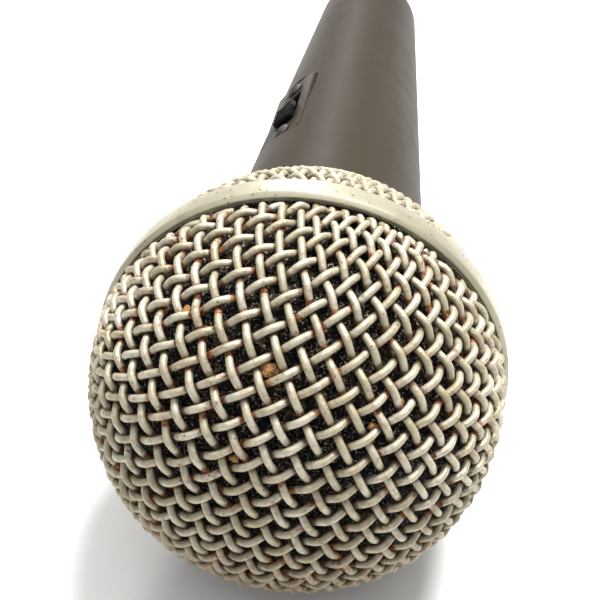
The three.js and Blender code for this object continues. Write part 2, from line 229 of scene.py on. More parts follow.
class Shader:
    """Builds one node material, with short calls for the nodes that this scene uses."""

    def __init__(self, name, color, roughness, metallic=0.0, specular=0.5):
        self.material = bpy.data.materials.new(name)
        self.material.use_nodes = True
        self.tree = self.material.node_tree
        self.bsdf = self.tree.nodes["Principled BSDF"]
        self.fill(self.bsdf, {"Base Color": (*color, 1), "Roughness": roughness, "Metallic": metallic,
                              "Specular IOR Level": specular})
        self.coords = self.node("ShaderNodeTexCoord").outputs["Object"]

    def node(self, kind, inputs=None, **settings):
        """A new node; inputs may be values or the sockets of other nodes."""
        node = self.tree.nodes.new(kind)
        for key, value in settings.items():
            setattr(node, key, value)
        self.fill(node, inputs or {})
        return node

    def fill(self, node, inputs):
        for key, value in inputs.items():
            self.value(node.inputs[key], value)

    def link(self, source, target):
        self.tree.links.new(source, target)

    def value(self, socket, value):
        if hasattr(value, "is_output"):
            self.link(value, socket)
        else:
            socket.default_value = value

    def noise(self, size, detail=4.0, rough=0.55, coords=None):
        """Noise whose lumps are about `size` millimetres."""
        node = self.node("ShaderNodeTexNoise", {"Vector": coords or self.coords, "Scale": 1000 / size,
                                                "Detail": detail, "Roughness": rough})
        return node.outputs["Fac"]

    def cells(self, size, feature="F1"):
        """Distance within irregular cells about `size` millimetres wide."""
        inputs = {"Vector": self.coords, "Scale": 1000 / size}
        return self.node("ShaderNodeTexVoronoi", inputs, feature=feature).outputs["Distance"]

    def bands(self, axis, width):
        """Even waves along a local axis, `width` millimetres apart or nearly so."""
        inputs = {"Vector": self.stretched(1, 1, 1), "Scale": 1000 / (math.pi * width)}
        return self.node("ShaderNodeTexWave", inputs, bands_direction=axis).outputs["Fac"]

    def stretched(self, x, y, z):
        """Coordinates scaled along local x, y and z of the microphone."""
        inputs = {"Vector": self.coords, "Rotation": TO_ROW.to_euler(), "Scale": (x, y, z)}
        return self.node("ShaderNodeMapping", inputs, vector_type="TEXTURE").outputs["Vector"]

    def ramp(self, source, low, high):
        """0 at `low`, 1 at `high`, eased; `low` may lie above `high`."""
        inputs = {"Value": source, "From Min": low, "From Max": high}
        return self.node("ShaderNodeMapRange", inputs, interpolation_type="SMOOTHSTEP").outputs["Result"]

    def math(self, operation, a, b):
        return self.node("ShaderNodeMath", {0: a, 1: b}, operation=operation).outputs["Value"]

    def times(self, a, b):
        return self.math("MULTIPLY", a, b)

    def mix(self, amount, a, b):
        a, b = (tone if hasattr(tone, "is_output") else (*tone, 1) for tone in (a, b))
        return self.node("ShaderNodeMix", {0: amount, 6: a, 7: b}, data_type="RGBA").outputs[2]

    def attribute(self, name):
        return self.node("ShaderNodeAttribute", attribute_name=name).outputs["Fac"]

    def underside(self, high, low):
        """0 where the piece rests more than `high` mm above the floor, 1 below `low` mm."""
        split = self.node("ShaderNodeSeparateXYZ", {"Vector": self.coords})
        return self.math("SUBTRACT", 1.0, self.ramp(split.outputs["Z"], low * MM, high * MM))

    def color(self, source):
        self.link(source, self.bsdf.inputs["Base Color"])

    def roughness(self, source, low, high):
        node = self.node("ShaderNodeMapRange", {"Value": source, "To Min": low, "To Max": high})
        self.link(node.outputs["Result"], self.bsdf.inputs["Roughness"])

    def bump(self, height, distance):
        """Bump of `distance` millimetres."""
        node = self.node("ShaderNodeBump", {"Strength": 1, "Distance": distance * MM, "Height": height})
        previous = self.bsdf.inputs["Normal"].links
        if previous:
            self.link(previous[0].from_socket, node.inputs["Normal"])
        self.link(node.outputs["Normal"], self.bsdf.inputs["Normal"])


def wire_paint():
    """Champagne lacquer on woven wire: painted shade and brown dirt where the wires cross, painted shade
    towards the underside, rust at some of the crossings.
    """
    s = Shader("wire_paint", (0.46, 0.43, 0.34), 0.36, 0.3)
    under = s.attribute("under")
    below = s.underside(32, 4)
    tone = s.mix(s.ramp(s.noise(5), 0.35, 0.65), (0.5, 0.462, 0.365), (0.395, 0.345, 0.235))
    dull = s.times(s.ramp(s.noise(0.8, 6, 0.7), 0.45, 0.62), 0.5)
    tone = s.mix(dull, tone, (0.22, 0.17, 0.1))
    # Painted shade: the cloth turns darker and browner towards its underside, near the floor.
    tone = s.mix(s.times(below, 0.85), tone, (0.14, 0.094, 0.042))
    # Painted crevice shade with brown dirt, darkest where each wire dives under its neighbour.
    near = s.math("ADD", under, s.times(s.noise(0.9, 4), 0.7))
    crossing_shade_and_grime = s.times(s.ramp(near, 0.42, 0.98), 0.94)
    tone = s.mix(crossing_shade_and_grime, tone, (0.075, 0.038, 0.014))
    ragged = s.math("ADD", under, s.times(s.noise(0.7, 6, 0.7), 1.4))
    patch = s.ramp(s.math("ADD", s.noise(3.2, 2), s.times(below, 0.16)), 0.54, 0.6)
    rust = s.times(s.ramp(ragged, 0.72, 1.02), patch)
    rust_tone = s.mix(s.ramp(s.noise(0.5, 3), 0.42, 0.6), (0.085, 0.024, 0.01), (0.36, 0.15, 0.055))
    tone = s.mix(rust, tone, rust_tone)
    chip = s.ramp(s.cells(0.75), 0.22, 0.12)
    chip = s.times(chip, s.ramp(s.noise(1.6), 0.47, 0.6))
    tone = s.mix(s.times(chip, 0.8), tone, (0.07, 0.05, 0.032))
    s.color(tone)
    s.roughness(s.math("MAXIMUM", rust, s.noise(0.8)), 0.28, 0.66)
    s.bump(s.noise(0.4, 4), 0.07)
    s.bump(rust, 0.05)
    return s.material


def band_paint():
    """Satin cream paint with fine turning lines, dark specks and worn patches."""
    s = Shader("band_paint", (0.4, 0.37, 0.285), 0.36, 0.3)
    tone = s.mix(s.ramp(s.noise(9), 0.3, 0.7), (0.37, 0.345, 0.26), (0.29, 0.265, 0.19))
    stain = s.times(s.ramp(s.noise(3.0, 6, 0.7), 0.5, 0.72), 0.4)
    tone = s.mix(stain, tone, (0.2, 0.16, 0.1))
    speck = s.ramp(s.cells(1.0), 0.19, 0.1)
    speck = s.times(speck, s.ramp(s.noise(3.0), 0.46, 0.54))
    tone = s.mix(s.times(speck, 0.85), tone, (0.05, 0.035, 0.022))
    s.color(tone)
    s.roughness(s.noise(1.2, 6), 0.3, 0.52)
    lines = s.noise(0.5, 2, coords=s.stretched(12, 1, 12))
    s.bump(lines, 0.015)
    s.bump(s.noise(0.6, 3), 0.025)
    return s.material


def handle_paint():
    """Satin warm dark grey enamel, a little uneven, with fine orange peel and rubbed marks."""
    s = Shader("handle_paint", (0.038, 0.031, 0.021), 0.45, specular=0.045)
    along = s.stretched(1, 10, 1)
    streaks = s.ramp(s.noise(9, 3, coords=along), 0.35, 0.65)
    tone = s.mix(streaks, (0.04, 0.033, 0.023), (0.034, 0.026, 0.02))
    scuff = s.times(s.ramp(s.noise(2.2, 8, 0.75), 0.6, 0.78), 0.25)
    tone = s.mix(scuff, tone, (0.075, 0.066, 0.052))
    scratch = s.ramp(s.noise(1.2, 2, coords=s.stretched(0.3, 14, 0.3)), 0.7, 0.78)
    tone = s.mix(s.times(scratch, 0.2), tone, (0.1, 0.09, 0.075))
    s.color(tone)
    s.roughness(s.noise(5, 6), 0.4, 0.54)
    s.bump(s.noise(0.7, 2), 0.015)
    s.bump(s.noise(0.22, 2), 0.006)
    return s.material


def foam_black():
    """Open-cell foam: black cell walls with small painted glints that fade out towards the underside, and
    some brown dust.
    """
    s = Shader("foam_black", (0.012, 0.011, 0.01), 0.5, specular=0.12)
    strand = s.ramp(s.cells(0.5, "DISTANCE_TO_EDGE"), 0.14, 0.02)
    # Painted glints: pale specks on the cell walls, put into the base colour.
    glint = s.times(s.ramp(s.noise(0.3, 3, 0.7), 0.51, 0.62), strand)
    glint = s.times(glint, s.ramp(s.noise(1.4), 0.33, 0.56))
    # Painted shade: the glints fade out towards the underside.
    glint = s.times(glint, s.math("SUBTRACT", 1.0, s.underside(34, 14)))
    tone = s.mix(glint, (0.006, 0.005, 0.004), (0.55, 0.5, 0.42))
    dust = s.times(s.ramp(s.noise(4.0), 0.5, 0.66), s.ramp(s.noise(0.5), 0.5, 0.62))
    tone = s.mix(s.times(dust, 0.6), tone, (0.13, 0.07, 0.03))
    s.color(tone)
    s.roughness(s.noise(0.5), 0.25, 0.75)
    s.bump(s.cells(0.5), 0.3)
    s.bump(s.noise(0.25, 3), 0.14)
    return s.material


def plain_metal(name, color, roughness, metallic=0.9, grain=0.3):
    """Plated or turned metal with fine lathe lines and light tarnish."""
    s = Shader(name, color, roughness, metallic)
    dark = tuple(c * 0.62 for c in color)
    s.color(s.mix(s.times(s.ramp(s.noise(3.0, 6, 0.65), 0.45, 0.72), 0.7), color, dark))
    s.roughness(s.noise(0.8, 5), roughness * 0.75, min(1, roughness * 1.5))
    s.bump(s.noise(grain, 2, coords=s.stretched(8, 1, 8)), 0.012)
    return s.material


def moulded(name, color, roughness, specular=0.5):
    """Moulded plastic or rubber with a fine grained face and slight dust."""
    s = Shader(name, color, roughness, specular=specular)
    dust = s.times(s.ramp(s.noise(2.6, 7, 0.7), 0.52, 0.75), 0.22)
    s.color(s.mix(dust, color, (0.28, 0.26, 0.23)))
    s.roughness(s.noise(1.0, 5), roughness * 0.85, min(1, roughness * 1.2))
    s.bump(s.noise(0.35, 3), 0.03)
    return s.material


def woven(name, color, thread):
    """Fine woven cloth: crossing bands of thread."""
    s = Shader(name, color, 0.9)
    weave = s.math("MAXIMUM", s.bands("X", thread), s.bands("Z", thread))
    s.color(s.mix(weave, tuple(c * 0.4 for c in color), color))
    s.bump(weave, 0.05)
    return s.material


def wound(name, color):
    """Enamelled wire wound in turns."""
    s = Shader(name, color, 0.32, 0.85)
    turns = s.bands("Y", 0.3)
    s.color(s.mix(turns, tuple(c * 0.35 for c in color), color))
    s.bump(turns, 0.08)
    return s.material


# ---- Net of wires on a turned surface ----

class TurnedSurface:
    """A surface of revolution by arc length from its pole, in local millimetres."""

    def __init__(self, r, y):
        self.r, self.y = np.asarray(r, float), np.asarray(y, float)
        step = np.hypot(np.diff(self.r), np.diff(self.y))
        self.s = np.concatenate([[0], np.cumsum(step)])
        slope_r, slope_y = np.gradient(self.r, self.s), np.gradient(self.y, self.s)
        size = np.hypot(slope_r, slope_y)
        self.dr, self.dy = slope_r / size, slope_y / size

    def spoke(self, p):
        """Distance from the pole, slopes there and direction from the axis at flat coordinates p (..., 2)."""
        length = np.maximum(np.hypot(p[..., 0], p[..., 1]), 1e-9)
        dr = np.interp(length, self.s, self.dr)
        dy = np.interp(length, self.s, self.dy)
        return length, dr, dy, p[..., 0] / length, p[..., 1] / length

    def at(self, p):
        """Points and their derivatives by the flat coordinates p."""
        length, dr, dy, ex, ez = self.spoke(p)
        r = np.interp(length, self.s, self.r)
        y = np.interp(length, self.s, self.y)
        point = np.stack([r * ex, y, r * ez], -1)
        jacobian = np.zeros(p.shape[:-1] + (3, 2))
        for k, (e, t) in enumerate(((ex, -ez), (ez, ex))):
            across = t * r / length
            jacobian[..., 0, k] = dr * e * ex - across * ez
            jacobian[..., 1, k] = dy * e
            jacobian[..., 2, k] = dr * e * ez + across * ex
        return point, jacobian

    def normal(self, p, away):
        """Unit normals that point out of the ball; away is the pole's direction along y."""
        _, dr, dy, ex, ez = self.spoke(p)
        return np.stack([-dy * away * ex, dr * away, -dy * away * ez], -1)


def wire_net(surface, step=KNOT):
    """Flat coordinates of a net of equal rhombs laid over the surface from its pole, and its middle index."""
    count = int(1.12 * surface.s[-1] / step)
    flat = np.full((count, count, 2), np.nan)
    point = np.full((count, count, 3), np.nan)
    run = np.arange(count) * step
    flat[:, 0] = np.stack([run, 0 * run], -1)
    flat[0, :] = np.stack([0 * run, run], -1)
    point[:, 0] = surface.at(flat[:, 0])[0]
    point[0, :] = surface.at(flat[0, :])[0]
    for diagonal in range(2, 2 * count - 1):
        i = np.arange(max(1, diagonal - count + 1), min(count, diagonal))
        j = diagonal - i
        a, b, c = point[i - 1, j], point[i, j - 1], point[i - 1, j - 1]
        p = flat[i - 1, j] + flat[i, j - 1] - flat[i - 1, j - 1]
        for _ in range(8):
            x, jacobian = surface.at(np.nan_to_num(p))
            to_a, to_b = x - a, x - b
            miss = np.stack([(to_a ** 2).sum(-1), (to_b ** 2).sum(-1)], -1) - step * step
            rows = 2 * np.stack([np.einsum("nk,nka->na", to_a, jacobian),
                                 np.einsum("nk,nka->na", to_b, jacobian)], -2)
            det = rows[:, 0, 0] * rows[:, 1, 1] - rows[:, 0, 1] * rows[:, 1, 0]
            det = np.where(np.abs(det) < 1e-9, 1e-9, det)
            move = np.stack([rows[:, 1, 1] * miss[:, 0] - rows[:, 0, 1] * miss[:, 1],
                             rows[:, 0, 0] * miss[:, 1] - rows[:, 1, 0] * miss[:, 0]], -1) / det[:, None]
            p = p - np.clip(move, -step, step)
        x, _ = surface.at(np.nan_to_num(p))
        lost = ~(np.abs(((x - a) ** 2).sum(-1) - step * step) < 1e-2 * step * step)
        lost |= ((x - c) ** 2).sum(-1) < (0.3 * step) ** 2
        flat[i, j] = np.where(lost[:, None], np.nan, p)
        point[i, j] = np.where(lost[:, None], np.nan, x)
    whole = np.full((2 * count - 1, 2 * count - 1, 2), np.nan)
    middle = count - 1
    for sx in (1, -1):
        for sy in (1, -1):
            quarter = flat * np.array([sx, sy])
            rows = slice(middle, None) if sx > 0 else slice(None, middle + 1)
            columns = slice(middle, None) if sy > 0 else slice(None, middle + 1)
            whole[rows, columns] = quarter[::sx, ::sy]
    return whole, middle


def sample_net(whole, middle, u, v):
    """Flat coordinates at net coordinates u, v in millimetres, straight between the net's knots."""
    gu, gv = middle + u / KNOT, middle + v / KNOT
    top = whole.shape[0] - 2
    iu, iv = np.clip(gu.astype(int), 0, top), np.clip(gv.astype(int), 0, top)
    wu, wv = (gu - iu)[:, None], (gv - iv)[:, None]
    p = (whole[iu, iv] * (1 - wu) * (1 - wv) + whole[iu + 1, iv] * wu * (1 - wv)
         + whole[iu, iv + 1] * (1 - wu) * wv + whole[iu + 1, iv + 1] * wu * wv)
    outside = (gu < 0) | (gv < 0) | (gu > top) | (gv > top)
    p[outside] = np.nan
    return p


def wire_paths(surface, away, turn, shift, keep, held, gather, seed=3):
    """Paths of both families of a plain weave: (points, normals, under) in local millimetres.
    `held` says how far a point at y is drawn in under a clamping rim, from 0 to 1, and `gather` how deep."""
    whole, middle = wire_net(surface)
    reach = surface.s[-1] * 1.1
    line = np.arange(-reach, reach, WIRE_PITCH / 8)
    rng = np.random.default_rng(seed)
    half_wires = int(reach / WIRE_PITCH) + 2
    fewest_points = 6
    paths = []
    for family in (0, 1):
        for index in range(-half_wires, half_wires + 1):
            place = index + round(shift[family])
            across = (place - shift[family]) * WIRE_PITCH * (1, -1)[family]
            sway = rng.uniform(-0.05, 0.05) + 0.05 * np.sin(line * rng.uniform(0.1, 0.3) + rng.uniform(0, 6))
            if family == 0:
                u, v = across + sway * WIRE_PITCH, line
                count_along = shift[1] - line / WIRE_PITCH
                lift = -np.cos(math.pi * (place + count_along))
            else:
                u, v = line, across + sway * WIRE_PITCH
                count_along = shift[0] + line / WIRE_PITCH
                lift = np.cos(math.pi * (place + count_along))
            flat = sample_net(whole, middle, u * np.ones_like(line), v * np.ones_like(line))
            on_sheet = np.hypot(flat[:, 0], flat[:, 1]) < surface.s[-1] * 0.999
            for run in runs(np.isfinite(flat[:, 0]) & on_sheet):
                point = surface.at(flat[run])[0]
                normal = surface.normal(flat[run], away)
                for part in runs(keep(point)):
                    if len(part) >= fewest_points:
                        paths.append(wire_path(point[part], normal[part], lift[run][part], turn,
                                               held(point[part][:, 1]), gather))
    return paths


def runs(mask):
    """Index runs where the mask holds."""
    index = np.flatnonzero(mask)
    return [part for part in np.split(index, np.flatnonzero(np.diff(index) > 1) + 1) if len(part)]


def spin_about_axis(turn):
    c, s = math.cos(turn), math.sin(turn)
    return np.array([[c, 0, -s], [0, 1, 0], [s, 0, c]])


def wire_path(point, normal, lift, turn, held, gather):
    """One wire's points and normals, and 1 where it dives under its neighbour."""
    crimp = WIRE_D * CRIMP * (1 - 0.7 * held)
    point = point + normal * (lift * crimp - gather * held)[:, None]
    spin = spin_about_axis(turn)
    return point @ spin.T, normal @ spin.T, np.clip(-lift, 0, 1)


def wire_cloth(name, paths, material, node):
    """One mesh of round wires along the paths, with the attribute `under` for the paint."""
    sides, radius = WIRE_SIDES, WIRE_D / 2
    ring = np.arange(sides) * 2 * math.pi / sides
    vertices, faces, under = [], [], []
    base = 0
    for point, normal, low in paths:
        tangent = np.gradient(point, axis=0)
        tangent /= np.linalg.norm(tangent, axis=1)[:, None]
        normal = normal - tangent * (normal * tangent).sum(-1)[:, None]
        normal /= np.linalg.norm(normal, axis=1)[:, None]
        binormal = np.cross(tangent, normal)
        loop = (point[:, None] + radius * (np.cos(ring)[None, :, None] * normal[:, None]
                                           + np.sin(ring)[None, :, None] * binormal[:, None]))
        count = len(point)
        vertices.append(loop.reshape(-1, 3))
        under.append(np.repeat(low, sides))
        start = base + np.arange(count - 1)[:, None] * sides
        k = np.arange(sides)[None]
        quads = np.stack([start + k, start + (k + 1) % sides, start + sides + (k + 1) % sides,
                          start + sides + k], -1).reshape(-1, 4)
        faces.extend(quads.tolist())
        faces.append([base + sides - 1 - q for q in range(sides)])
        faces.append([base + (count - 1) * sides + q for q in range(sides)])
        base += count * sides
    piece = new_object(name, to_row(np.concatenate(vertices)), faces, material, "grille",
                       (node,), 60)
    layer = piece.data.attributes.new("under", "FLOAT", "POINT")
    layer.data.foreach_set("value", np.concatenate(under).astype(np.float32))


def dome_curve(radius, steps=1500):
    """(r, y) arrays of the front dome's middle surface, from its pole to the band plane."""
    t = np.linspace(0, 1, steps)
    angle = (math.pi / 2) * (t - DOME_FLATTEN * np.sin(2 * math.pi * t) / (2 * math.pi)
                             - DOME_LIFT * np.sin(math.pi * t) / math.pi)
    dt = t[1]
    middle = (angle[1:] + angle[:-1]) / 2
    r = np.concatenate([[0], np.cumsum(np.cos(middle)) * dt])
    y = np.concatenate([[0], np.cumsum(np.sin(middle)) * dt])
    scale = radius / r[-1]
    return r * scale, (y - y[-1]) * scale


def rear_radius(t):
    """Radius of the rear sheet's middle at t = 0, the band, to t = 1, the collar."""
    return REAR["r_front"] + (REAR["r_back"] - REAR["r_front"]) * t + 4 * REAR["bulge"] * t * (1 - t)


def rear_curve(steps=900):
    """(r, y) arrays of the rear sheet from a pole that the collar cuts away, to the band."""
    t = np.linspace(1, 0, steps)
    y = REAR["front"] + (REAR["back"] - REAR["front"]) * t
    r = rear_radius(t)
    slope = math.atan2(-(y[1] - y[0]), r[1] - r[0])
    cap_r = REAR["r_back"] / math.sin(slope)
    turn = np.linspace(0, slope, 500)[:-1]
    cap_y = y[0] + cap_r * (np.cos(turn) - math.cos(slope))
    return np.concatenate([cap_r * np.sin(turn), r]), np.concatenate([cap_y, y])


def settle(low, high, value):
    """0 at `low`, 1 at `high`, eased; `low` may lie above `high`."""
    t = np.clip((value - low) / (high - low), 0, 1)
    return t * t * (3 - 2 * t)


# ---- Woven cloths ----

wire = wire_paint()
front_surface = TurnedSurface(*dome_curve(BALL_R))
rear_surface = TurnedSurface(*rear_curve())

front_paths = wire_paths(front_surface, -1, WEAVE_TURN, WEAVE_SHIFT,
                         keep=lambda p: p[:, 1] < -0.05,
                         held=lambda y: settle(-1.9, -0.5, y), gather=0.5)
wire_cloth("front_cloth", front_paths, wire, "grille_front")

rear_paths = wire_paths(rear_surface, 1, WEAVE_TURN, (0.5, 0.3),
                        keep=lambda p: (p[:, 1] > 3.3) & (p[:, 1] < 20.95),
                        held=lambda y: settle(5.4, 3.9, y) + settle(19.9, 20.8, y), gather=0.6, seed=5)
wire_cloth("rear_cloth", rear_paths, wire, "grille_rear")


# ---- Debris caught between the wires ----

def cell_place(i, j, sink):
    """Local place and normal in the front cloth at wire counts i, j, `sink` mm below its middle."""
    whole, middle = wire_net(front_surface)
    u = np.array([(i - WEAVE_SHIFT[0]) * WIRE_PITCH])
    v = np.array([-(j - WEAVE_SHIFT[1]) * WIRE_PITCH])
    flat = sample_net(whole, middle, u, v)
    normal = front_surface.normal(flat, -1)
    point = front_surface.at(flat)[0] - normal * sink
    spin = spin_about_axis(WEAVE_TURN)
    return (point @ spin.T)[0], (normal @ spin.T)[0]


def flake(name, place, normal, size, thickness, seed, material):
    """An irregular crumb, flattened against the cloth."""
    shape = bmesh.new()
    bmesh.ops.create_icosphere(shape, subdivisions=4, radius=1)
    turn = Vector(normal).to_track_quat("Z", "Y").to_matrix()
    for vertex in shape.verts:
        p = vertex.co.copy()
        lumps = noise.noise(p * 1.3 + Vector((seed, 0, 0)))
        grain = noise.noise(p * 4 + Vector((0, seed, 0)))
        rough = 1 + 0.35 * lumps + 0.14 * grain
        q = Vector((p.x * size[0], p.y * size[1], p.z * thickness)) * rough
        vertex.co = Vector(place) + turn @ q
    vertices = to_row([v.co[:] for v in shape.verts])
    faces = [[v.index for v in f.verts] for f in shape.faces]
    shape.free()
    new_object(name, vertices, faces, material, "grille", sharp=50)


def rust_flake():
    s = Shader("rust_flake", (0.3, 0.16, 0.05), 0.8)
    tone = s.mix(s.ramp(s.noise(0.7, 4), 0.35, 0.65), (0.2, 0.075, 0.02), (0.5, 0.29, 0.1))
    s.color(s.mix(s.ramp(s.noise(0.35, 3), 0.55, 0.66), tone, (0.05, 0.02, 0.01)))
    s.roughness(s.noise(0.5), 0.6, 0.95)
    s.bump(s.noise(0.25, 4), 0.12)
    return s.material


# ---- Foam liner ----

def dome_offset(s, depth):
    """(r, y) at arc length s from the dome's pole, `depth` mm below the front cloth's middle."""
    surface = front_surface
    return (float(np.interp(s, surface.s, surface.r - depth * surface.dy)),
            float(np.interp(s, surface.s, surface.y + depth * surface.dr)))


def foam_liner():
    """Open-cell foam close behind both cloths: pits and cell walls on its outside, a plain inside."""
    skin = WIRE_D + 0.15
    wall = 3.2
    back = 16.5
    clear_of_thread = 14.3
    sides, ring_gap = 420, 0.4
    pit_edge = 0.42
    rear = []
    for y in np.arange(0.6, back, ring_gap):
        t = min(1, max(0, (y - REAR["front"]) / (REAR["back"] - REAR["front"])))
        rear.append((rear_radius(t) - skin - 0.5, y))
    outer = [dome_offset(s, skin) for s in np.arange(0, front_surface.s[-1], ring_gap)]
    outer[0] = (0.0, outer[0][1])
    outer = [p for p in outer if p[1] < 0] + rear
    outer = [(max(r, clear_of_thread + 0.5) if y > 14 else r, y) for r, y in outer]
    inner = []
    for s in np.arange(0, front_surface.s[-1], 5 * ring_gap):
        r, y = dome_offset(s, skin + wall)
        if y < -1 and (not inner or r > inner[-1][0]):
            inner.append((r, y))
    inner[0] = (0.0, inner[0][1])
    inner += [(max(r - wall, clear_of_thread), y) for r, y in rear[::6]] + [(clear_of_thread, rear[-1][1])]
    vertices, faces = turned_mesh(outer + inner[::-1], sides)
    local = to_local(vertices)
    outer_count = 1 + (len(outer) - 1) * sides    # the pole, then whole rings
    moved = local.copy()
    for k in range(outer_count):
        p = Vector(local[k])
        lump = noise.noise(p * 0.9)
        cell = noise.voronoi(p * 1.15)[0][0]
        grain = noise.noise(p * 2.9)
        depth = 0.10 * lump + 0.16 * grain - 0.34 * max(0.0, pit_edge - cell) / pit_edge
        moved[k] = local[k] + np.array(outward_of(p)) * depth
    piece = new_object("foam_liner", to_row(moved), faces, foam_black(), "grille",
                       ("windscreen_foam",), 70)


def outward_of(p):
    """Roughly away from the ball's middle."""
    return Vector((p.x, min(p.y, 0.0), p.z)).normalized()


foam_liner()

crumb = rust_flake()
DEBRIS = (                                    # wire counts i, j, (long, wide, thick) mm
    (2.5, 6.5, (0.9, 0.8, 0.4)),
    (-0.5, 9.6, (0.5, 0.4, 0.4)),
    (-0.6, 2.6, (0.45, 0.55, 0.3)),
    (5.6, 10.8, (0.5, 0.35, 0.3)),
    (7.2, 10.7, (0.35, 0.45, 0.25)),
)
for number, (i, j, (long, wide, thick)) in enumerate(DEBRIS, 1):
    place, normal = cell_place(i, j, 0.35)
    flake(f"debris_{number}", place, normal, (long, wide), thick, 7.0 * number, crumb)


# ---- Band and collar ----

band = band_paint()
BAND = {"r": 25.65, "bore": 24.4, "front": -0.4, "back": 3.6, "lip": 0.5}
# Round the outside, then the bore and the seat of the front cloth
turned_piece(
    "grille_band_rolled",
    [(BAND["r"] - 0.7, BAND["front"]), (BAND["r"] - BAND["lip"], BAND["front"]),
     (BAND["r"], BAND["front"] + BAND["lip"]), (BAND["r"], BAND["back"] - BAND["lip"]),
     (BAND["r"] - BAND["lip"], BAND["back"]), (BAND["bore"], BAND["back"]), (BAND["bore"], 0.1),
     (BAND["bore"] + 0.1, -0.05), (24.78, -0.05), (24.8, 0.35), (24.93, 0.35)],
    band, "grille", ("grille_band",), sides=180, bevel=0.1)


def thread(radius, depth, y0, y1):
    """Radius of a right-handed thread at y and angle, for turned_mesh; it fades out at both ends."""
    def at(r, y, turn):
        if abs(r - radius) > 1e-6 or not y0 <= y <= y1:
            return r
        wave = (y / THREAD_PITCH + turn / (2 * math.pi)) % 1.0
        fade = min(1.0, (y - y0) / (0.5 * THREAD_PITCH), (y1 - y) / (0.5 * THREAD_PITCH))
        return r + depth * max(0.0, min(1.0, 2.2 * abs(wave - 0.5) * 2 - 0.6)) * fade
    return at


def threaded(node, radius, depth, ends, material, body):
    """A turned CAD node whose wall at `radius` carries a real helical thread between two places along y."""
    profile = []
    outline = cad_profile(node)
    for a, b in zip(outline, outline[1:] + outline[:1]):
        profile.append(a)
        if abs(a[0] - radius) < 0.03 and abs(b[0] - radius) < 0.03:
            count = int(abs(b[1] - a[1]) / 0.12)
            profile[-1] = (radius, a[1])
            profile += [(radius, a[1] + (b[1] - a[1]) * k / count) for k in range(1, count)]
    vertices, faces = turned_mesh(outward(profile), 144, thread(radius, depth, *ends))
    new_object(node + "_threaded", vertices, faces, material, body, (node,), 35)


threaded("grille_collar", 15.0, 0.3, (20.8, 22.9), band, "grille")
adapter_metal = plain_metal("adapter_metal", (0.56, 0.5, 0.38), 0.32)
threaded("thread_adapter", 14.5, -0.45, (18.2, 23.4), adapter_metal, "handle")


# ---- Shapes for the handle's fittings ----

def aimed(points, degrees):
    """Local points drawn about +z, turned round the axis to `degrees` from +x towards +z."""
    points = np.asarray(points, float)
    turn = math.radians(90 - degrees)
    c, s = math.cos(turn), math.sin(turn)
    return np.stack([points[:, 0] * c + points[:, 2] * s, points[:, 1],
                     -points[:, 0] * s + points[:, 2] * c], -1)


def prism(outline, place):
    """Vertices and faces between two copies of an outline; place(p, end) gives each local point."""
    count = len(outline)
    vertices = [place(p, 0) for p in outline] + [place(p, 1) for p in outline]
    faces = [list(range(count))[::-1], [count + k for k in range(count)]]
    faces += [[k, (k + 1) % count, count + (k + 1) % count, count + k] for k in range(count)]
    return np.array(vertices, float), faces


def rounded_rectangle(width, length, radius, steps=6):
    outline = []
    for cx, cy, start in ((1, 1, 0), (-1, 1, 90), (-1, -1, 180), (1, -1, 270)):
        for k in range(steps + 1):
            turn = math.radians(start + 90 * k / steps)
            outline.append((cx * (width / 2 - radius) + radius * math.cos(turn),
                            cy * (length / 2 - radius) + radius * math.sin(turn)))
    return outline


def plate_block(width, length, radius, z0, z1, y, degrees):
    vertices, faces = prism(rounded_rectangle(width, length, radius),
                            lambda p, end: (p[0], y + p[1], z1 if end else z0))
    return aimed(vertices, degrees), faces


def peg(profile, y, degrees, sides=32):
    """A turned shape from (radius, height) points about a spoke that stands out from the axis at y."""
    vertices, faces = [], []
    for r, h in profile:
        for k in range(sides):
            turn = 2 * math.pi * k / sides
            vertices.append((r * math.cos(turn), y + r * math.sin(turn), h))
    for ring in range(len(profile) - 1):
        for k in range(sides):
            n = (k + 1) % sides
            faces.append([ring * sides + k, ring * sides + n, (ring + 1) * sides + n, (ring + 1) * sides + k])
    faces.append(list(range(sides))[::-1])
    faces.append([(len(profile) - 1) * sides + k for k in range(sides)])
    return aimed(vertices, degrees), faces


def rod(r, y0, y1, x, z, sides=32):
    """A round bar along the axis."""
    turn = [2 * math.pi * k / sides for k in range(sides)]
    outline = [(r * math.cos(t), r * math.sin(t)) for t in turn]
    return prism(outline, lambda p, end: (x + p[0], y1 if end else y0, z - p[1]))


def cut(piece, *shapes):
    """Takes closed local shapes (vertices, faces) out of a piece."""
    for vertices, faces in shapes:
        mesh = bpy.data.meshes.new("tool")
        mesh.from_pydata([tuple(v) for v in to_row(vertices)], [], faces)
        tool = in_scene("tool", mesh)
        modifier = piece.modifiers.new("cut", "BOOLEAN")
        modifier.operation = "DIFFERENCE"
        modifier.solver = "EXACT"
        modifier.object = tool
        apply_modifiers(piece)
        bpy.data.objects.remove(tool)
        bpy.data.meshes.remove(mesh)
    smooth(piece.data, 32)


# ---- Handle ----

HANDLE = {"front": 24.6, "taper": (25.2, 135.4), "r_front": 15.0, "r_back": 11.2, "end": 137.0}
SOCKET = {"r": 9.6, "floor": 116.7, "ledge": 8.8}
SWITCH = {"y": 60.0, "angle": 134.0, "travel": 4.5, "flat": 13.15, "floor": 12.45}
PLATE = {"length": 24.0, "width": 8.8, "from": 12.75, "to": 13.25, "screws": 9.0, "slot": (4.2, 12.0)}
KNOB = {"reach": 3.0, "half_width": 1.9, "base": 13.4, "shoulder": 14.0}
SCREW_HOLE = 1.3
OUTSIDE = 16.0                                # a distance from the axis beyond the handle's surface

# Spots on the handle: y and the angle round the axis
switch_spot = (SWITCH["y"], SWITCH["angle"])
screw_spots = [(SWITCH["y"] + side * PLATE["screws"], SWITCH["angle"]) for side in (-1, 1)]
connector_screw_spot = (119.6, 300.0)
latch_spot = (HANDLE["end"] - 3.5, 90)


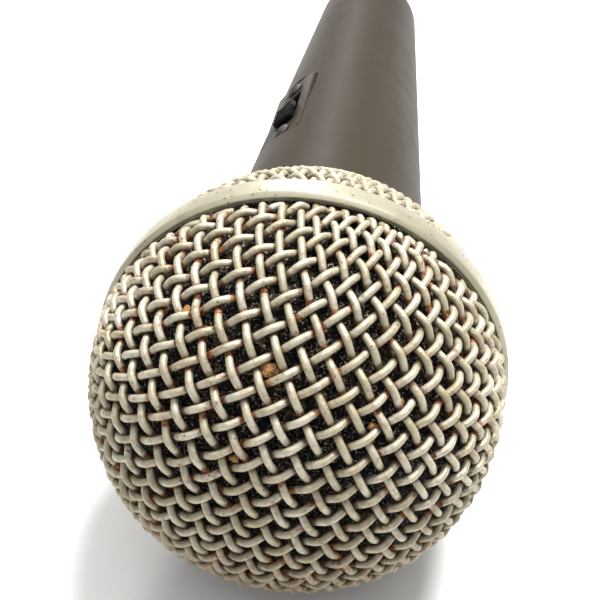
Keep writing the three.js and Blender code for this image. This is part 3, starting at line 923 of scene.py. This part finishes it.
def handle_outline():
    """(radius, y) round the handle's wall: front edge, taper, back edge, socket, ledge and cavity."""
    front, end = HANDLE["front"], HANDLE["end"]
    r_front, r_back = HANDLE["r_front"], HANDLE["r_back"]
    taper_from, taper_to = HANDLE["taper"]
    outline = [(r_front - inset, front + along)
               for inset, along in ((0.5, 0), (0.2, 0.08), (0.05, 0.25), (0, taper_from - front))]
    outline += [(r_front + (r_back - r_front) * t, taper_from + (taper_to - taper_from) * t)
                for t in np.linspace(0.04, 1, 25)]
    outline += [(r_back - inset, end - along)
                for inset, along in ((0.08, 1), (0.2, 0.5), (0.35, 0.2), (0.6, 0))]
    outline += [(SOCKET["r"] + 0.3, end), (SOCKET["r"], end - 0.3), (SOCKET["r"], SOCKET["floor"])]
    outline += [(SOCKET["ledge"], SOCKET["floor"]), (SOCKET["ledge"], 114.5), (9.8, 112.0)]
    return outline + [(12.3, 36.0), (13.5, 35.0), (13.5, front)]


paint = handle_paint()
handle = turned_piece("handle_shell", handle_outline(), paint, "handle", ("handle",),
                      sides=192, bevel=0, sharp=32)
cut(
    handle,
    plate_block(12, PLATE["length"] + 3, 1.5, SWITCH["flat"], OUTSIDE, *switch_spot),
    plate_block(PLATE["width"] + 0.5, PLATE["length"] + 0.5, 1.3, SWITCH["floor"], OUTSIDE, *switch_spot),
    plate_block(5.0, 12.8, 0.5, 8, 15, *switch_spot),
    *[peg([(SCREW_HOLE, 9), (SCREW_HOLE, 15)], *spot) for spot in screw_spots],
    peg([(1.35, 8), (1.35, 11.1), (1.6, 14)], *connector_screw_spot),
    plate_block(3.2, 5.0, 0.5, 8.2, 10.8, *latch_spot),
)

plate_vertices, plate_faces = plate_block(PLATE["width"], PLATE["length"], 1.2, PLATE["from"], PLATE["to"],
                                          *switch_spot)
plate = new_object("switch_plate_pressed", to_row(plate_vertices), plate_faces, paint, "handle",
                   ("switch_plate",))
cut(
    plate,
    plate_block(*PLATE["slot"], 0.6, 11, 15, *switch_spot),
    *[peg([(SCREW_HOLE, 11), (SCREW_HOLE, 15)], *spot) for spot in screw_spots],
)
bevelled(plate, 0.12, angle=50)

# Stem, underside of the head, its rim and its crown
switch_screw = [(0.95, 10.3), (0.95, 13.27), (1.5, 13.27), (1.6, 13.5), (1.35, 13.8), (0.8, 13.95)]
screw_black = plain_metal("screw_black", (0.035, 0.033, 0.03), 0.5, 0.3)
for number, spot in enumerate(screw_spots, 1):
    vertices, faces = peg(switch_screw, *spot)
    screw = new_object(f"switch_screw_{number}_cross", to_row(vertices), faces, screw_black, "handle",
                       (f"switch_screw_{number}",))
    cut(screw, *[plate_block(w, l, 0.1, 13.55, 15, *spot) for w, l in ((0.36, 1.9), (1.9, 0.36))])
    bevelled(screw, 0.05, angle=40)


def knob_side():
    """(y from the knob's middle, height) round its side view, with four ribs on top."""
    reach, base, shoulder = KNOB["reach"], KNOB["base"], KNOB["shoulder"]
    side = [(-reach, base), (reach, base), (reach, shoulder)]
    for crest in (2.4, 0.8, -0.8, -2.4):
        side += [(crest + 0.2, 14.33), (crest - 0.2, 14.38)]
        if crest > -2:
            side += [(crest - 0.65, 14.05), (crest - 0.95, 14.02)]
    return side + [(-reach, shoulder)]


knob_black = moulded("knob_black", (0.004, 0.004, 0.004), 0.55, specular=0.06)
knob_y = SWITCH["y"] - SWITCH["travel"] / 2
thumb, thumb_faces = prism(knob_side(), lambda p, end: (KNOB["half_width"] * (1 if end else -1),
                                                        knob_y + p[0], p[1]))
stem, stem_faces = prism(rounded_rectangle(2.5, 3.1, 0.3),
                         lambda p, end: (p[0], knob_y + p[1], 13.45 if end else 10.55))
knob = new_object("switch_knob_ribbed", to_row(aimed(np.concatenate([thumb, stem]), SWITCH["angle"])),
                  thumb_faces + [[len(thumb) + v for v in f] for f in stem_faces], knob_black,
                  "switch_knob", ("switch_slider",))
bevelled(knob, 0.14, angle=35)


# ---- Connector end ----

PIN_CIRCLE = 4.6


def pin_place(number):
    turn = math.radians(30 + 120 * number)
    return PIN_CIRCLE * math.cos(turn), PIN_CIRCLE * math.sin(turn)


black_plastic = moulded("black_plastic", (0.02, 0.02, 0.022), 0.45)
insert = turned_piece("connector_insert_round",
                      [(0, 117.0), (9.05, 117.0), (9.25, 117.2), (9.25, 122.1), (9.0, 122.5), (7.3, 122.5),
                       (7.1, 122.2), (6.8, 122.2), (6.6, 122.5), (0, 122.5)],
                      black_plastic, "handle", ("connector_insert",), bevel=0)
cut(insert, *[rod(1.5, 116, 124, *pin_place(k)) for k in range(3)])

contact_metal = plain_metal("contact_metal", (0.62, 0.5, 0.27), 0.28)
pin_outline = [(0, 113.6), (0.9, 113.6), (1.0, 113.8), (1.0, 122.5), (1.2, 122.9), (1.2, 132.3),
               (1.1, 132.8), (0.8, 133.2), (0.45, 133.4), (0, 133.5)]
for k in range(3):
    x, z = pin_place(k)
    vertices, faces = turned_mesh(outward(pin_outline), 32)
    vertices = to_row(to_local(vertices) + np.array([x, 0, z]))
    new_object(f"connector_pin_{k + 1}_turned", vertices, faces, contact_metal, "handle",
               (f"connector_pin_{k + 1}",))

vertices, faces = peg([(0.9, 9.75), (1.0, 9.85), (1.0, 11.3), (0.85, 11.44)], *connector_screw_spot)
screw = new_object("connector_screw_slotted", to_row(vertices), faces, screw_black, "handle",
                   ("connector_screw",))
cut(screw, plate_block(0.32, 2.4, 0.05, 11.05, 12.5, *connector_screw_spot))


# ---- Capsule and the pieces inside ----

rubber = moulded("rubber_black", (0.016, 0.016, 0.016), 0.7)
steel = plain_metal("steel", (0.55, 0.54, 0.52), 0.3)
capsule_metal = plain_metal("capsule_metal", (0.6, 0.6, 0.61), 0.28)
magnet_metal = plain_metal("magnet_nickel", (0.42, 0.41, 0.42), 0.33)
cloth = woven("acoustic_cloth_weave", (0.05, 0.048, 0.045), 0.35)
film = plain_metal("film_gold", (0.6, 0.47, 0.25), 0.25, 0.5)
copper = wound("copper_winding", (0.42, 0.13, 0.05))

smooth_copy("seal_washer", rubber, "washer", sides=120)
smooth_copy("acoustic_cloth", cloth, "handle", bevel=0.05)
smooth_copy("diaphragm", film, "diaphragm_coil", bevel=0)
smooth_copy("voice_coil", copper, "diaphragm_coil", bevel=0.05)
smooth_copy("pole_piece", steel, "handle")
smooth_copy("magnet", magnet_metal, "handle")
smooth_copy("magnet_yoke", steel, "handle")
smooth_copy("capsule_housing", capsule_metal, "handle", sides=120)
smooth_copy("rear_chamber", black_plastic, "handle")
smooth_copy("shock_mount", rubber, "handle")
smooth_copy("transformer_cushion", rubber, "handle")

cap = turned_piece("resonator_cap_domed",
                   [(0, -12.4), (12.7, -12.4), (13.1, -12.2), (13.2, -11.9), (13.2, -11.2), (0, -11.2)],
                   black_plastic, "handle", ("resonator_cap",), bevel=0)
cut(cap, rod(1.6, -13, -11, 0, 0),
    *[rod(2.2, -13, -11, 7 * math.cos(k * math.pi / 3), 7 * math.sin(k * math.pi / 3)) for k in range(6)])


def dress(node, material, width=0.12, level=0):
    """A CAD node shown as it is, with a finish and eased edges, or rounded off where level is given."""
    piece = frame["nodes"][node]
    piece.data.materials.clear()
    piece.data.materials.append(material)
    if level:
        piece.modifiers.new("round", "SUBSURF").render_levels = level
    else:
        modifier = piece.modifiers.new("edges", "BEVEL")
        modifier.width, modifier.segments, modifier.limit_method = width * MM, 2, "ANGLE"


laminated = plain_metal("lamination_steel", (0.3, 0.29, 0.28), 0.45, grain=0.4)
dress("transformer_core", laminated)
dress("transformer_winding", copper, 0.4)
dress("switch_body", black_plastic, 0.25)
sleeves = {"red": moulded("lead_red", (0.3, 0.012, 0.01), 0.42),
           "black": moulded("lead_black", (0.012, 0.012, 0.012), 0.42)}
for color, sleeve in sleeves.items():
    for run in ("capsule_lead", "output_lead"):
        dress(f"{run}_{color}", sleeve, level=2)


# ---- Floor, light and camera ----

def floor_finish():
    s = Shader("floor_pale", (0.8, 0.8, 0.8), 0.6)
    s.color(s.mix(s.noise(60), (0.79, 0.79, 0.79), (0.81, 0.81, 0.81)))
    return s.material


def stage_floor():
    mesh = bpy.data.meshes.new("floor")
    reach = 4.0
    corners = [(x * reach, y * reach, 0) for x, y in ((-1, -1), (1, -1), (1, 1), (-1, 1))]
    mesh.from_pydata(corners, [], [(0, 1, 2, 3)])
    mesh.materials.append(floor_finish())
    floor = in_scene("floor", mesh)


def soft_light(name, place, aim, size, watts, tint):
    data = bpy.data.lights.new(name, "AREA")
    data.shape = "DISK"
    data.size = size
    data.energy = watts
    data.color = tint
    lamp = in_scene(name, data)
    lamp.location = place
    lamp.rotation_euler = (Vector(aim) - Vector(place)).to_track_quat("-Z", "Y").to_euler()


def studio_world(horizon, rise):
    """Soft light that grows from the horizon to straight overhead."""
    world = bpy.data.worlds.new("studio")
    world.use_nodes = True
    tree = world.node_tree

    def math_node(operation, source, *values):
        node = tree.nodes.new("ShaderNodeMath")
        node.operation = operation
        tree.links.new(source, node.inputs[0])
        for k, value in enumerate(values, 1):
            node.inputs[k].default_value = value
        return node.outputs["Value"]

    direction = tree.nodes.new("ShaderNodeTexCoord").outputs["Generated"]
    height = tree.nodes.new("ShaderNodeSeparateXYZ")
    tree.links.new(direction, height.inputs["Vector"])
    upward = math_node("MAXIMUM", height.outputs["Z"], 0)
    level = math_node("MULTIPLY_ADD", math_node("POWER", upward, 2), rise, horizon)
    background = tree.nodes["Background"]
    background.inputs["Color"].default_value = (1, 1, 1, 1)
    tree.links.new(level, background.inputs["Strength"])
    bpy.context.scene.world = world


stage_floor()
studio_world(horizon=0.08, rise=1.6)
soft_light("key", (0.15, 0.15, 0.76), (0, -0.02, 0.02), 0.26, 12.0, (1, 0.99, 0.97))
soft_light("back", (-0.12, 0.75, 0.42), (0, 0.03, 0.02), 0.22, 3.6, (1, 0.98, 0.94))
bpy.context.scene.view_settings.view_transform = "Standard"

LENS = 58.6                                   # on a sensor 36 mm wide
VIEW_FROM = (10.75, -95.34, 75.49)            # local place
VIEW_DOWN = 33.78                             # degrees towards local -z
VIEW_ASIDE = 6.43                             # degrees from local +y towards local -x

camera = in_scene("camera", bpy.data.cameras.new("camera"))
camera.data.lens = LENS
camera.data.sensor_width = 36
camera.data.clip_start, camera.data.clip_end = 0.005, 20
camera.location = Vector(to_row(VIEW_FROM))
down, aside = math.radians(VIEW_DOWN), math.radians(VIEW_ASIDE)
gaze = TO_ROW @ Vector((-math.sin(aside) * math.cos(down), math.cos(aside) * math.cos(down), -math.sin(down)))
camera.rotation_euler = gaze.to_track_quat("-Z", "Y").to_euler()
bpy.context.scene.camera = camera
